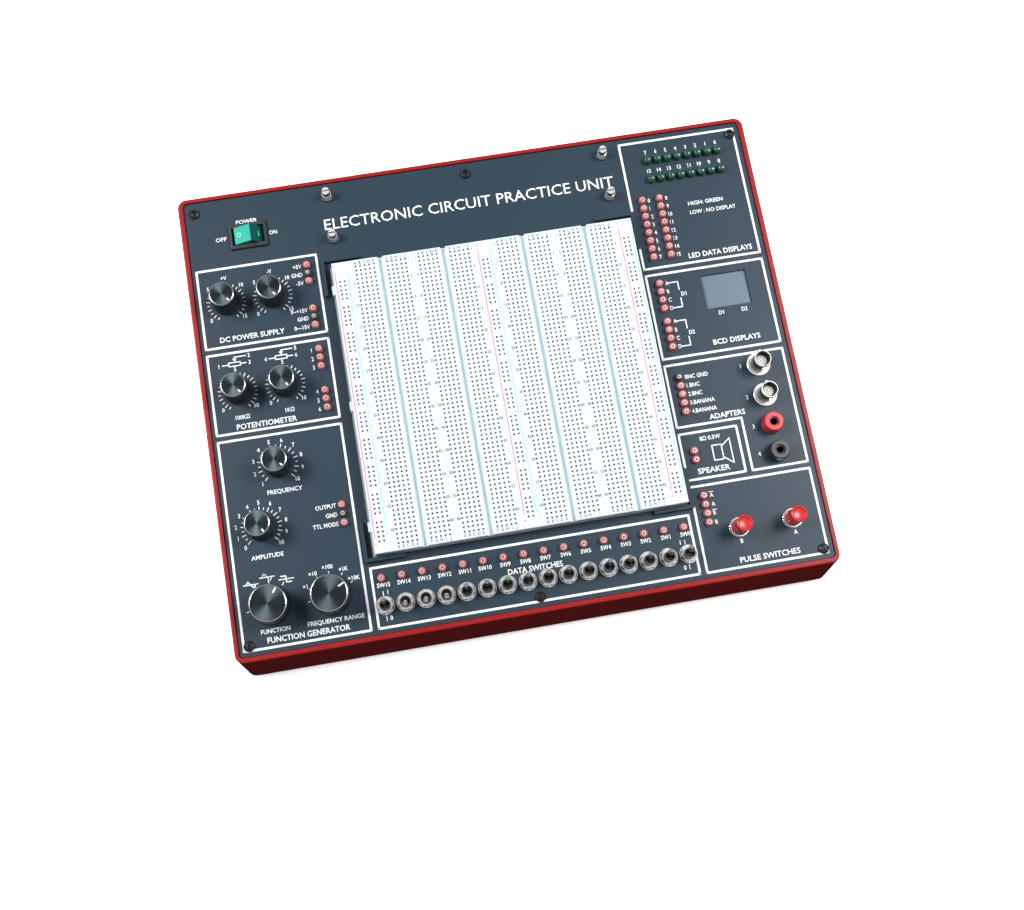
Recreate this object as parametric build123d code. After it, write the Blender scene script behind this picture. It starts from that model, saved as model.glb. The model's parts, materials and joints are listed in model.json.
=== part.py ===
from build123d import *
import math
import os

# Bench trainer with a built-in function generator: a sloping-front tub, a flat
# control panel set into its rim, and a solderless breadboard on the panel.
# Units are millimetres. The object stands on its feet at z = 0, front towards -Y.
# Panel parts are drawn in the panel's own axes: origin at the middle of the rim,
# X to the right, Y up the slope, Z out of the panel. ON_PANEL then tilts them.

TILT = 12.0            # slope of the rim, degrees
RIM_D = 264.1          # outer depth measured along the slope
FRONT_H = 33.6         # height of the front wall
FOOT_H = 5.0
BASE_HALF = 163.55     # half the outer width of the tub at its floor
SIDE_DRAFT = 0.0125    # how much the side walls lean out per millimetre of height
FRONT_DRAFT = 1.2      # how far the front wall's foot stands behind its rim
CORNER_R = 5.0
RIM_ROUND = 0.9
WALL = 2.5
FLOOR = 3.0
INLET_PROUD = 2.0      # the mains inlet's flange stands this far off the rear wall
INLET_X = -40.0
INLET_Z = 32.0
SPEAKER_AT = (85.0, -25.0)

SIN = math.sin(math.radians(TILT))
COS = math.cos(math.radians(TILT))
FOOT_D = RIM_D * COS                       # depth of the footprint
Y_MID = -INLET_PROUD / 2                   # keeps the origin under the middle
RIM_Z = FOOT_H + FRONT_H + RIM_D / 2 * SIN
ON_PANEL = Location((0, Y_MID, RIM_Z), (TILT, 0, 0))

# Panel plate and what stands on it
PANEL_TOP = -1.0
PANEL_T = 2.5
PANEL_BOT = PANEL_TOP - PANEL_T
PANEL_W = 322.9
PANEL_D = 258.1
PANEL_GAP = 0.3        # between the plate and the rebate it sits in
BOARD_TOP = -15.0
BOARD_T = 1.6
RUN = 0.05             # radial running clearance of a shaft

# Places on the panel (x, y)
SCREWS = [(x, y) for y in (122.5, -123.7) for x in (-155.9, 0.2, 155.9)]
POSTS = [(x, y) for y in (121.6, 96.1) for x in (-80.1, 79.9)]
KNOBS = {"knob_supply_plus": (-144.3, 67.4, -49), "knob_supply_minus": (-118.3, 67.4, -60),
         "knob_resistor_100k": (-144.4, 15.2, -53), "knob_resistor_1k": (-118.2, 15.2, -60),
         "knob_frequency": (-128.1, -28.9, -46), "knob_amplitude": (-141.4, -61.8, -58)}
SELECTORS = {"selector_waveform": (-141.2, -104.4, 55), "selector_range": (-109.1, -104.4, 26)}
POWER = (-127.2, 104.9)
TOGGLE_Y = -114.4
TOGGLES = [(0.5 + 11.0 * (7.5 - n), TOGGLE_Y) for n in range(16)]
TOGGLES_LOW = (14, 13, 12)     # levers stored in the lower position
LEDS = [(105.2 + 5.9 * i, y) for y in (113.6, 101.9) for i in range(8)]
WINDOW = (134.5, 29.9)
WINDOW_SIZE = (25.8, 19.8)
BUTTONS = {"button_b": (113.2, -104.6), "button_a": (142.9, -104.6)}
BNC = [(143.0, -16.5), (143.0, -34.2)]
BANANA = {"banana_red": (142.8, -51.2), "banana_black": (142.8, -67.2)}

JACK_X_LEFT = -97.1
JACK_X_RIGHT = 97.4
DARK_JACKS = [(JACK_X_LEFT, 77.0), (JACK_X_LEFT, 51.0), (JACK_X_LEFT, -61.7), (JACK_X_RIGHT, -16.9)]
RED_JACKS = [(JACK_X_LEFT, y) for y in (81.8, 72.2, 55.9, 46.2)]
RED_JACKS += [(JACK_X_LEFT, y - 4.96 * i) for y in (32.0, 8.1) for i in range(3)]
RED_JACKS += [(JACK_X_LEFT, y) for y in (-56.8, -66.7)]
RED_JACKS += [(x, 89.5 - 4.96 * i) for x in (JACK_X_RIGHT, 107.4) for i in range(8)]
RED_JACKS += [(JACK_X_RIGHT, y - 4.96 * i) for y in (38.7, 15.9) for i in range(4)]
RED_JACKS += [(JACK_X_RIGHT, -21.9 - 4.96 * i) for i in range(4)]
RED_JACKS += [(JACK_X_RIGHT, y) for y in (-59.3, -64.3)]
RED_JACKS += [(JACK_X_RIGHT, -84.5 - 4.96 * i) for i in range(4)]
RED_JACKS += [(x, -99.6) for x, y in TOGGLES]

# Solderless breadboard
STRIP_X = 2.2
STRIP_Y = -5.0
STRIP_L = 165.1
TERMINAL_W = 35.56
BUS_W = 9.4
STRIP_TOP = 7.5
BACKING_T = 0.8
GROOVE_W = 3.0
GROOVE_DEPTH = 2.4
GUIDE_BOX = (-89.3, -90.4, 90.8, 83.2)     # outer rectangle of the four corner guides
GUIDE_LEG = 22.0
GUIDE_W = 2.0
GUIDE_H = 3.0

# Controls
KNOB_R = 7.3
KNOB_TOP = 14.3
SELECTOR_R = 10.35
KNOB_FLOAT = 0.6       # gap between a knob's skirt and the panel
SHAFT_R = 3.0
TOGGLE_TILT = 12.5
TOGGLE_PIVOT = 4.2
LEVER_TOP = 13.2
ROCKER_TILT = 13.0
ROCKER_PIVOT = -3.0
CAP_R = 4.4
CAP_TOP = 14.0
CAP_TRAVEL = 3.0


def rod(radius, low, high, at=(0, 0)):
    """Upright cylinder between two heights."""
    return Pos(at[0], at[1], (low + high) / 2) * Cylinder(radius, high - low)


def block(x0, y0, z0, x1, y1, z1):
    """Box between two corners."""
    return Pos((x0 + x1) / 2, (y0 + y1) / 2, (z0 + z1) / 2) * Box(x1 - x0, y1 - y0, z1 - z0)


def turned(points):
    """Solid of revolution about Z from (radius, height) points."""
    outline = make_face(Polyline(*[(r, 0, z) for r, z in points], close=True))
    return revolve(outline, Axis.Z, 360)


def hexagon(across_flats, low, high, bore):
    """Hexagon nut between two heights."""
    prism = extrude(RegularPolygon(across_flats / 2, 6, major_radius=False), high - low)
    return Pos(0, 0, low) * prism - rod(bore, low - 1, high + 1)


def each(shape, places):
    """One copy of a shape at every place."""
    return [Pos(x, y, 0) * shape for x, y in places]


def save(name, solids, place=ON_PANEL):
    """Writes one node, from one solid or a list of them."""
    items = []
    for item in (solids if isinstance(solids, list) else [solids]):
        items += item.solids()
    placed = [place * s for s in items]
    whole = placed[0] if len(placed) == 1 else Compound(children=placed)
    export_step(whole, "parts/" + name + ".step")


os.makedirs("parts", exist_ok=True)

# ---- Tub: wedge-shaped moulding with screw pillars, open under the panel ----
front = Y_MID - FOOT_D / 2
rear = Y_MID + FOOT_D / 2
rear_z = FOOT_H + FRONT_H + RIM_D * SIN
side = Polyline((0, front + FRONT_DRAFT, FOOT_H), (0, rear, FOOT_H), (0, rear, rear_z),
                (0, front, FOOT_H + FRONT_H), close=True)
tub = extrude(make_face(side), 2 * BASE_HALF, dir=(1, 0, 0), both=True)
top_half = BASE_HALF + SIDE_DRAFT * (rear_z - FOOT_H)
lean = Polyline((-BASE_HALF, 0, FOOT_H), (BASE_HALF, 0, FOOT_H), (top_half, 0, rear_z),
                (-top_half, 0, rear_z), close=True)
tub = tub & extrude(make_face(lean), RIM_D, dir=(0, 1, 0), both=True)
uprights = [edge for edge in tub.edges() if abs((edge @ 1 - edge @ 0).normalized().Z) > 0.9]
tub = fillet(uprights, CORNER_R)
tub = fillet(tub.faces().sort_by(Axis.Z)[0].edges(), 2.0)
slope_up = Vector(0, -SIN, COS)
crest = [face for face in tub.faces() if face.normal_at().dot(slope_up) > 0.999]
tub = fillet(crest[0].edges(), RIM_ROUND)
inner_half = BASE_HALF - WALL
hollow = block(-inner_half, front + FRONT_DRAFT + WALL, FOOT_H + FLOOR, inner_half, rear - WALL, rear_z + 20)
hollow = fillet(hollow.edges().filter_by(Axis.Z), CORNER_R - WALL)
rebate = RectangleRounded(PANEL_W + 2 * PANEL_GAP, PANEL_D + 2 * PANEL_GAP, 2.0 + PANEL_GAP)
tub = tub - hollow - ON_PANEL * Pos(0, 0, PANEL_BOT) * extrude(rebate, 20)

above = ON_PANEL * block(-200, -200, PANEL_BOT, 200, 200, 150)
for x, y in SCREWS:
    seat = (ON_PANEL * Pos(x, y, PANEL_BOT)).position
    radius = 4.2 if abs(x) > 100 else 3.2
    pillar = rod(radius, FOOT_H + FLOOR - 1, seat.Z + 5, (seat.X, seat.Y)) - above
    tub = tub + pillar
tub = tub - [ON_PANEL * rod(1.5, PANEL_BOT - 11, PANEL_BOT + 1, p) for p in SCREWS]
tub = tub - block(INLET_X - 14.2, rear - WALL - 1, INLET_Z - 13.2, INLET_X + 14.2, rear + 1, INLET_Z + 13.2)
slots = [block(SPEAKER_AT[0] - w, SPEAKER_AT[1] + dy - 1.2, FOOT_H - 1,
               SPEAKER_AT[0] + w, SPEAKER_AT[1] + dy + 1.2, FOOT_H + FLOOR + 1)
         for dy, w in ((-14, 9), (-7, 15), (0, 17), (7, 15), (14, 9))]
tub = tub - slots
save("tub", tub, Location())

foot = turned([(0, 0), (6.2, 0), (7.0, 0.8), (7.0, FOOT_H), (0, FOOT_H)])
save("feet", each(foot, [(x, y + Y_MID) for y in (-108, 108) for x in (-142, 142)]), Location())

# ---- Panel plate ----
plate = Pos(0, 0, PANEL_BOT) * extrude(RectangleRounded(PANEL_W, PANEL_D, 2.0), PANEL_T)
JACK_HOLE = 1.85
HOLES = [(1.7, SCREWS), (1.6, POSTS), (3.6, [v[:2] for v in KNOBS.values()]),
         (4.6, [v[:2] for v in SELECTORS.values()]), (3.15, TOGGLES), (2.6, LEDS),
         (4.9, list(BUTTONS.values())), (4.9, BNC), (3.6, list(BANANA.values())),
         (JACK_HOLE, RED_JACKS + DARK_JACKS)]
cuts = [rod(r, PANEL_BOT - 1, PANEL_TOP + 1, p) for r, places in HOLES for p in places]
cuts.append(Pos(WINDOW[0], WINDOW[1], 0) * Box(WINDOW_SIZE[0], WINDOW_SIZE[1], 20))
cuts.append(Pos(POWER[0], POWER[1], 0) * Box(19.2, 13.2, 20))
plate = plate - cuts
save("panel", plate)

head = turned([(0, PANEL_TOP), (3.0, PANEL_TOP), (2.7, 0.1), (1.6, 0.9), (0, 1.1)])
cross = block(-1.7, -0.35, 0.1, 1.7, 0.35, 2) + block(-0.35, -1.7, 0.1, 0.35, 1.7, 2)
screw = (head - cross) + rod(1.45, PANEL_BOT - 9, PANEL_TOP + 0.2)
save("panel_screws", each(screw, SCREWS))

# ---- Posts: turned collars with slotted screws ----
collar = turned([(1.55, PANEL_TOP), (3.6, PANEL_TOP), (3.6, 0.6), (2.7, 3.0), (1.55, 3.0)])
post = turned([(0, 3.0), (2.4, 3.0), (2.4, 6.3), (2.1, 6.7), (0, 6.7)])
post = (post - block(-3, -0.4, 5.4, 3, 0.4, 8)) + rod(1.5, PANEL_BOT - 6, 3.2)
post_nut = hexagon(5.5, PANEL_BOT - 2.4, PANEL_BOT, 1.55)
save("posts", each(collar, POSTS) + each(post, POSTS) + each(post_nut, POSTS))

# ---- Breadboard: backing, seven strips, four corner guides ----
widths = [BUS_W, TERMINAL_W, TERMINAL_W, BUS_W, TERMINAL_W, TERMINAL_W, BUS_W]
strip_x0 = STRIP_X - sum(widths) / 2
strip_z0 = PANEL_TOP + BACKING_T
backing = block(strip_x0 - 1.4, STRIP_Y - STRIP_L / 2 - 0.4, PANEL_TOP,
                strip_x0 + sum(widths) + 0.4, STRIP_Y + STRIP_L / 2 + 0.4, strip_z0)
save("strip_backing", backing)
terminals = []
buses = []
left = strip_x0
for width in widths:
    strip = block(left + 0.04, STRIP_Y - STRIP_L / 2, strip_z0,
                  left + width - 0.04, STRIP_Y + STRIP_L / 2, STRIP_TOP)
    strip = chamfer(strip.faces().sort_by(Axis.Z)[-1].edges(), 0.35)
    if width == TERMINAL_W:
        mid = left + width / 2
        strip = strip - block(mid - GROOVE_W / 2, -200, STRIP_TOP - GROOVE_DEPTH, mid + GROOVE_W / 2, 200, 20)
        terminals.append(strip)
    else:
        if left == strip_x0:
            tabs = [block(left - 1.6, STRIP_Y + dy - 2.7, 1.2, left + 1, STRIP_Y + dy + 2.7, 5.6)
                    for dy in (-67.4, 0, 67.4)]
            strip = strip + tabs
        buses.append(strip)
    left += width
save("terminal_strips", terminals)
save("bus_strips", buses)

gx0, gy0, gx1, gy1 = GUIDE_BOX
guides = []
for x, sx in ((gx0, 1), (gx1, -1)):
    for y, sy in ((gy0, 1), (gy1, -1)):
        xs = sorted((x, x + sx * GUIDE_LEG))
        ys = sorted((y, y + sy * GUIDE_LEG))
        leg = block(xs[0], ys[0], PANEL_TOP, xs[1], ys[1], PANEL_TOP + GUIDE_H)
        guides.append(leg - Pos(sx * GUIDE_W, sy * GUIDE_W, 0) * leg)
save("corner_guides", guides)

# ---- Power rocker ----
frame = block(-10.5, -7.5, PANEL_TOP, 10.5, 7.5, 0.8)
frame = fillet(frame.faces().sort_by(Axis.Z)[-1].edges(), 0.7)
frame = frame + block(-9.5, -6.5, -15.0, 9.5, 6.5, PANEL_TOP + 0.1)
frame = frame - block(-9.05, -5.3, -13.5, 9.05, 5.3, 5)
save("rocker_frame", Pos(*POWER, 0) * frame)
roof = Polyline((-8.4, -0.8), (0, 4.7), (8.4, -0.8), (8.2, -3.2), (4.6, -9.0), (-4.6, -9.0), (-8.2, -3.2),
                close=True)
paddle = Plane.XZ * make_face(roof)
paddle = extrude(paddle, 5.0, both=True)
paddle = fillet(paddle.edges().filter_by(Axis.Y).sort_by(Axis.Z)[-3:], 0.6)
pivot = Pos(0, 0, ROCKER_PIVOT)
paddle = pivot * Rot(0, ROCKER_TILT, 0) * pivot.inverse() * paddle
save("power_rocker", Pos(*POWER, 0) * paddle)

# ---- Pots and rotary switches, with the knobs that turn on them ----


def control(body_r, bushing_r, bushing_top, flats):
    """Round control body with a threaded bushing and its hexagon nut."""
    body = rod(body_r, BOARD_TOP, -5.0) + rod(bushing_r + 1.5, -5.2, PANEL_BOT)
    body = body + rod(bushing_r, -5.0, bushing_top) - rod(SHAFT_R + RUN, -12.0, bushing_top + 1)
    return [body, hexagon(flats, PANEL_TOP, PANEL_TOP + 2.2, bushing_r + 0.05)]


def knob(radius, recess_r, tick_angle):
    """Knob with a fine-chamfered cap, a recess over the nut and a shaft up its middle."""
    low = PANEL_TOP + KNOB_FLOAT
    body = turned([(0, low), (radius + 0.25, low), (radius, KNOB_TOP - 1.2), (radius - 0.05, KNOB_TOP - 0.6),
                   (radius - 0.6, KNOB_TOP), (0, KNOB_TOP)])
    body = body - rod(recess_r, low - 1, 4.4) - rod(SHAFT_R, 4, 10.6)
    mark = block(radius * 0.57, -0.35, KNOB_TOP - 0.2, radius - 0.7, 0.35, KNOB_TOP + 1)
    body = body - Rot(0, 0, tick_angle) * mark
    return [body, rod(SHAFT_R, -11.6, 10.6)]


pots = []
for name, (x, y, angle) in KNOBS.items():
    pots += [Pos(x, y, 0) * s for s in control(8.2, 3.5, 2.6, 10.0)]
    save(name, [Pos(x, y, 0) * s for s in knob(KNOB_R, 6.1, angle)])
save("pots", pots)
rotaries = []
for name, (x, y, angle) in SELECTORS.items():
    rotaries += [Pos(x, y, 0) * s for s in control(12.0, 4.5, 3.2, 13.0)]
    save(name, [Pos(x, y, 0) * s for s in knob(SELECTOR_R, 7.8, angle)])
save("rotary_switches", rotaries)

# ---- Data switches: body with bushing, toothed washer, nut, tilting bat lever ----
toggle_body = block(-4.0, -5.6, BOARD_TOP, 4.0, 6.4, PANEL_BOT) + rod(3.0, PANEL_BOT - 0.5, 5.6)
toggle_body = toggle_body - rod(2.3, -1.6, 6)
save("toggle_bodies", each(toggle_body, TOGGLES))
teeth = [Rot(0, 0, 45 * i + 22.5) * block(3.85, -0.9, -2, 4.5, 0.9, 1) for i in range(8)]
washer = rod(5.0, PANEL_TOP, PANEL_TOP + 0.6) - rod(3.06, -2, 1) - teeth
save("toggle_washers", each(washer, TOGGLES))
nut = hexagon(7.9, PANEL_TOP + 0.6, PANEL_TOP + 2.6, 3.05) & turned(
    [(0, -1), (4.5, -1), (4.5, 1.2), (4.0, 1.6), (0, 1.6)])
save("toggle_nuts", each(nut, TOGGLES))
lever = turned([(0, 2.4), (1.2, 2.8), (1.85, 4.2), (1.2, 5.4), (1.25, 6.4), (1.55, 11.4), (1.5, 12.4),
                (1.05, LEVER_TOP - 0.1), (0, LEVER_TOP)])
hinge = Pos(0, 0, TOGGLE_PIVOT)
for n, (x, y) in enumerate(TOGGLES):
    tilt = TOGGLE_TILT if n in TOGGLES_LOW else -TOGGLE_TILT
    save(f"lever_{n:02d}", Pos(x, y, 0) * (hinge * Rot(tilt, 0, 0) * hinge.inverse() * lever))

# ---- Push buttons ----
button_body = block(-6.0, -6.0, BOARD_TOP, 6.0, 6.0, PANEL_BOT) + rod(4.85, PANEL_BOT - 0.5, PANEL_TOP)
button_body = button_body - rod(4.6, -10.5, 2)
save("button_bodies", each(button_body, BUTTONS.values()))
bezel = turned([(4.6, PANEL_TOP), (5.4, PANEL_TOP), (5.4, 0.3), (4.95, 0.9), (4.6, 0.9)])
save("button_bezels", each(bezel, BUTTONS.values()))
cap = turned([(0, -5.0), (CAP_R, -5.0), (CAP_R, 12.9), (4.1, 13.7), (3.3, CAP_TOP), (2.6, CAP_TOP - 0.15),
              (0, CAP_TOP - 0.6)])
for name, (x, y) in BUTTONS.items():
    save(name, Pos(x, y, 0) * cap)

# ---- Indicators and the two-digit display ----
led = turned([(0, -5.6), (2.9, -5.6), (2.9, -4.4), (2.5, -4.4), (2.5, 0.6), (2.35, 1.5), (1.9, 2.3),
              (1.2, 2.85), (0, 3.1)])
led = led + [block(x - 0.3, -0.3, BOARD_TOP, x + 0.3, 0.3, -5.4) for x in (-1.27, 1.27)]
save("leds", each(led, LEDS))
lens = Pos(*WINDOW, 0) * block(-12.8, -9.8, -4.8, 12.8, 9.8, -2.3)
save("display_window", lens)
module = Pos(*WINDOW, 0) * block(-12.6, -9.6, BOARD_TOP, 12.6, 9.6, -4.8)
save("display_module", module)

# ---- Tip jacks: insulating collar round a plated tube ----
jack = turned([(1.05, PANEL_BOT - 2), (1.75, PANEL_BOT - 2), (1.75, PANEL_TOP), (2.08, PANEL_TOP),
               (2.08, 1.2), (1.7, 1.9), (1.05, 1.9)])
save("red_jacks", each(jack, RED_JACKS))
save("dark_jacks", each(jack, DARK_JACKS))
tube = turned([(0.5, BOARD_TOP + 1.5), (0.5, 1.6), (0.75, 2.05), (1.0, 2.05), (1.0, BOARD_TOP),
               (0, BOARD_TOP), (0, BOARD_TOP + 1.5)])
save("jack_contacts", each(tube, RED_JACKS + DARK_JACKS))

# ---- Coaxial sockets ----
shell = turned([(3.1, -10.0), (4.75, -10.0), (4.75, PANEL_TOP), (6.7, PANEL_TOP), (6.7, 0.2), (6.3, 0.5),
                (4.8, 0.5), (4.8, 10.6), (4.5, 11.0), (4.1, 11.0), (4.1, 1.6), (3.1, 1.6)])
lugs = Pos(0, 0, 7.6) * Rot(90, 0, 0) * Cylinder(0.95, 11.4) - rod(4.5, 0, 12)
save("bnc_shells", each(shell + lugs, BNC))
core = turned([(0, -12.0), (0.6, -12.0), (0.6, -9.0), (3.1, -9.0), (3.1, 1.6), (2.9, 1.6), (2.9, 6.8),
               (0.65, 6.8), (0.65, 2.5), (0, 2.5)])
save("bnc_cores", each(core, BNC))
rear_nuts = each(hexagon(14.0, PANEL_BOT - 2.5, PANEL_BOT, 4.8), BNC)
rear_nuts += each(hexagon(11.0, PANEL_BOT - 2.5, PANEL_BOT, 3.55), BANANA.values())
save("rear_nuts", rear_nuts)

# ---- Banana sockets ----
socket = turned([(2.4, -9.5), (3.5, -9.5), (3.5, PANEL_TOP), (5.7, PANEL_TOP), (5.7, 0.2), (5.35, 5.9),
                 (4.9, 6.5), (2.9, 6.5), (2.4, 6.0)])
for name, (x, y) in BANANA.items():
    save(name, Pos(x, y, 0) * socket)
sleeve = turned([(0, -13.5), (2.4, -13.5), (2.4, 5.2), (2.0, 5.2), (2.0, -12.5), (0, -12.5)])
save("banana_contacts", each(sleeve, BANANA.values()))

# ---- Inside: board, transformer, loudspeaker, mains inlet ----
board = block(-151, -120, BOARD_TOP - BOARD_T, 151, 113, BOARD_TOP)
save("main_board", board)
core_z = FOOT_H + FLOOR
windows = [Pos(x, 0, 0) * Box(8, 20, 26) for x in (-12.5, 12.5)]
core = Box(50, 18, 42) - windows
legs = [Pos(x, 0, 0) * Box(wide, 18.2, 30) for x, wide in ((0, 17.2), (-24.7, 16.4), (24.7, 16.4))]
coil = Box(32.8, 34, 25.6) - legs
save("transformer", [Pos(-95, 82, core_z + 21) * s for s in (core, coil)], Location())
cone = turned([(0, 14.2), (11, 14.2), (25, 0.8), (25, 0), (26.5, 0), (26.5, 2.2), (12.5, 15.8), (0, 15.8)])
magnet = rod(12.0, 15.8, 24.0)
save("speaker", [Pos(*SPEAKER_AT, core_z) * s for s in (cone, magnet)], Location())
flange = block(-20.5, 0, -15.5, 20.5, INLET_PROUD, 15.5) + block(-14, -22, -13, 14, 0.5, 13)
flange = flange - block(-11.8, -16, -11.4, 11.8, 5, 4.4) - block(-10, -6, 6.2, 10, 5, 11.2)
pins = [block(x - 1, -17, z - 2, x + 1, -3, z + 2) for x, z in ((-7, -4.5), (7, -4.5), (0, -1.5))]
inlet = [flange + pins, block(-9.8, -5.9, 6.4, 9.8, 1.2, 11.0)]
save("mains_inlet", [Pos(INLET_X, rear, INLET_Z) * s for s in inlet], Location())
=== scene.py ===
import json
import math

import bmesh
import bpy
import numpy as np
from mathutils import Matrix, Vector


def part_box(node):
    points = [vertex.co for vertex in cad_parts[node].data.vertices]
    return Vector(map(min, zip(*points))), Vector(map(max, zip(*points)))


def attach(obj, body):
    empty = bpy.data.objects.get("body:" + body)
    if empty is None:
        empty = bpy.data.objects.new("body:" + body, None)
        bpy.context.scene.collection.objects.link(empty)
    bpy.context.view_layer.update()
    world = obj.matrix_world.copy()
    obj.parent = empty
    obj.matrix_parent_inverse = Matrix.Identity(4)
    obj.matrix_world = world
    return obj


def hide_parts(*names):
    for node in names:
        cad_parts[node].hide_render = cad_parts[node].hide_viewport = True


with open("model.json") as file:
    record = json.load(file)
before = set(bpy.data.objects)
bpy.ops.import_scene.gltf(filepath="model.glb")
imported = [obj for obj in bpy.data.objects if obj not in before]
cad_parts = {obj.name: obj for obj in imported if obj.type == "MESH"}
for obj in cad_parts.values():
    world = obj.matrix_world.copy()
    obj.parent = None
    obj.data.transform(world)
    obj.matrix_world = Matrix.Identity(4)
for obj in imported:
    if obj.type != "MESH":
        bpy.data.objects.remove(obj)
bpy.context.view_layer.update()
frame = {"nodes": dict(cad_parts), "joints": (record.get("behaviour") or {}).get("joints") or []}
nodes = frame["nodes"]

# ---- Tub -----------------------------------------------------------------------------
# One wedge-shaped shell of deep red plastic, moulded in a lightly textured tool and
# glossy enough to catch the light along its rounded rim. Everything else hangs in it.


def surface_grain():
    """Node group shared by all finishes: slow mottling of the colour, a roughness that drifts,
    and a fine pimpled relief. All three are noise on the piece's own place, in metres."""
    tree = bpy.data.node_groups.new("surface_grain", "ShaderNodeTree")
    inputs = (("Color", "NodeSocketColor"), ("Mottle", "NodeSocketFloat"),
              ("Mottle Scale", "NodeSocketFloat"), ("Roughness", "NodeSocketFloat"),
              ("Drift", "NodeSocketFloat"), ("Grain Scale", "NodeSocketFloat"),
              ("Grain Height", "NodeSocketFloat"))
    for name, kind in inputs:
        tree.interface.new_socket(name, in_out="INPUT", socket_type=kind)
    outputs = (("Color", "NodeSocketColor"), ("Roughness", "NodeSocketFloat"), ("Normal", "NodeSocketVector"))
    for name, kind in outputs:
        tree.interface.new_socket(name, in_out="OUTPUT", socket_type=kind)
    given = tree.nodes.new("NodeGroupInput")
    result = tree.nodes.new("NodeGroupOutput")
    place = tree.nodes.new("ShaderNodeTexCoord")
    mottle = tree.nodes.new("ShaderNodeTexNoise")
    mottle.inputs["Detail"].default_value = 4.0
    shade = tree.nodes.new("ShaderNodeMath")
    shade.operation = "SUBTRACT"
    shade.inputs[1].default_value = 0.5
    amount = tree.nodes.new("ShaderNodeMath")
    amount.operation = "MULTIPLY_ADD"
    amount.inputs[2].default_value = 1.0
    tint = tree.nodes.new("ShaderNodeVectorMath")
    tint.operation = "SCALE"
    drift = tree.nodes.new("ShaderNodeMath")
    drift.operation = "MULTIPLY_ADD"
    grain = tree.nodes.new("ShaderNodeTexNoise")
    grain.inputs["Detail"].default_value = 2.0
    relief = tree.nodes.new("ShaderNodeBump")
    relief.inputs["Distance"].default_value = 0.0001
    link = tree.links.new
    link(place.outputs["Object"], mottle.inputs["Vector"])
    link(place.outputs["Object"], grain.inputs["Vector"])
    link(given.outputs["Mottle Scale"], mottle.inputs["Scale"])
    link(mottle.outputs["Fac"], shade.inputs[0])
    link(shade.outputs[0], amount.inputs[0])
    link(given.outputs["Mottle"], amount.inputs[1])
    link(given.outputs["Color"], tint.inputs[0])
    link(amount.outputs[0], tint.inputs["Scale"])
    link(tint.outputs[0], result.inputs["Color"])
    link(shade.outputs[0], drift.inputs[0])
    link(given.outputs["Drift"], drift.inputs[1])
    link(given.outputs["Roughness"], drift.inputs[2])
    link(drift.outputs[0], result.inputs["Roughness"])
    link(given.outputs["Grain Scale"], grain.inputs["Scale"])
    link(grain.outputs["Fac"], relief.inputs["Height"])
    link(given.outputs["Grain Height"], relief.inputs["Strength"])
    link(relief.outputs["Normal"], result.inputs["Normal"])
    return tree


GRAIN = surface_grain()


def finish(name, color, roughness, mottle=0.15, mottle_scale=60.0, drift=0.1, grain_scale=3000.0,
           grain_height=0.15, **sockets):
    """A material whose colour, roughness and relief come from the shared grain; sockets are plain values."""
    material = bpy.data.materials.new(name)
    material.use_nodes = True
    tree = material.node_tree
    shader = tree.nodes["Principled BSDF"]
    grain = tree.nodes.new("ShaderNodeGroup")
    grain.node_tree = GRAIN
    grain.name = "grain"
    grain.inputs["Color"].default_value = (*color, 1.0)
    grain.inputs["Roughness"].default_value = roughness
    grain.inputs["Mottle"].default_value = mottle
    grain.inputs["Mottle Scale"].default_value = mottle_scale
    grain.inputs["Drift"].default_value = drift
    grain.inputs["Grain Scale"].default_value = grain_scale
    grain.inputs["Grain Height"].default_value = grain_height
    tree.links.new(grain.outputs["Color"], shader.inputs["Base Color"])
    tree.links.new(grain.outputs["Roughness"], shader.inputs["Roughness"])
    tree.links.new(grain.outputs["Normal"], shader.inputs["Normal"])
    for socket, value in sockets.items():
        shader.inputs[socket.replace("_", " ")].default_value = value
    return material


def dress(material, *names):
    """Gives CAD nodes a material."""
    for name in names:
        for holder in nodes[name].material_slots:
            holder.material = material


moulded_red = finish("moulded_red", (0.27, 0.010, 0.010), 0.36, mottle=0.12, mottle_scale=25.0, drift=0.08,
                     grain_scale=1400.0, grain_height=0.10, Specular_IOR_Level=0.22)
dress(moulded_red, "tub")

# ---- Feet ----------------------------------------------------------------------------
# Four turned black rubber feet, pressed into the floor of the tub.
# They are matt and hold a little dust.

foot_rubber = finish("foot_rubber", (0.02, 0.02, 0.021), 0.8, mottle=0.4, mottle_scale=200.0,
                     grain_height=0.4)
dress(foot_rubber, "feet")

# ---- Mains inlet ---------------------------------------------------------------------
# A black plastic appliance inlet with three plated blades and a small fuse drawer.
# It is snapped into the rear wall; the blades are the only metal that shows.


def within(tree, low, high):
    """A mask that is 1 inside a box given by two corners in metres, and 0 outside it."""
    place = tree.nodes.new("ShaderNodeTexCoord")
    split = tree.nodes.new("ShaderNodeSeparateXYZ")
    tree.links.new(place.outputs["Object"], split.inputs[0])
    result = None
    for axis in range(3):
        for edge, test in ((low[axis], "GREATER_THAN"), (high[axis], "LESS_THAN")):
            check = tree.nodes.new("ShaderNodeMath")
            check.operation = test
            check.inputs[1].default_value = edge
            tree.links.new(split.outputs[axis], check.inputs[0])
            if result is None:
                result = check
                continue
            both = tree.nodes.new("ShaderNodeMath")
            both.operation = "MULTIPLY"
            tree.links.new(result.outputs[0], both.inputs[0])
            tree.links.new(check.outputs[0], both.inputs[1])
            result = both
    return result.outputs[0]


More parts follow.
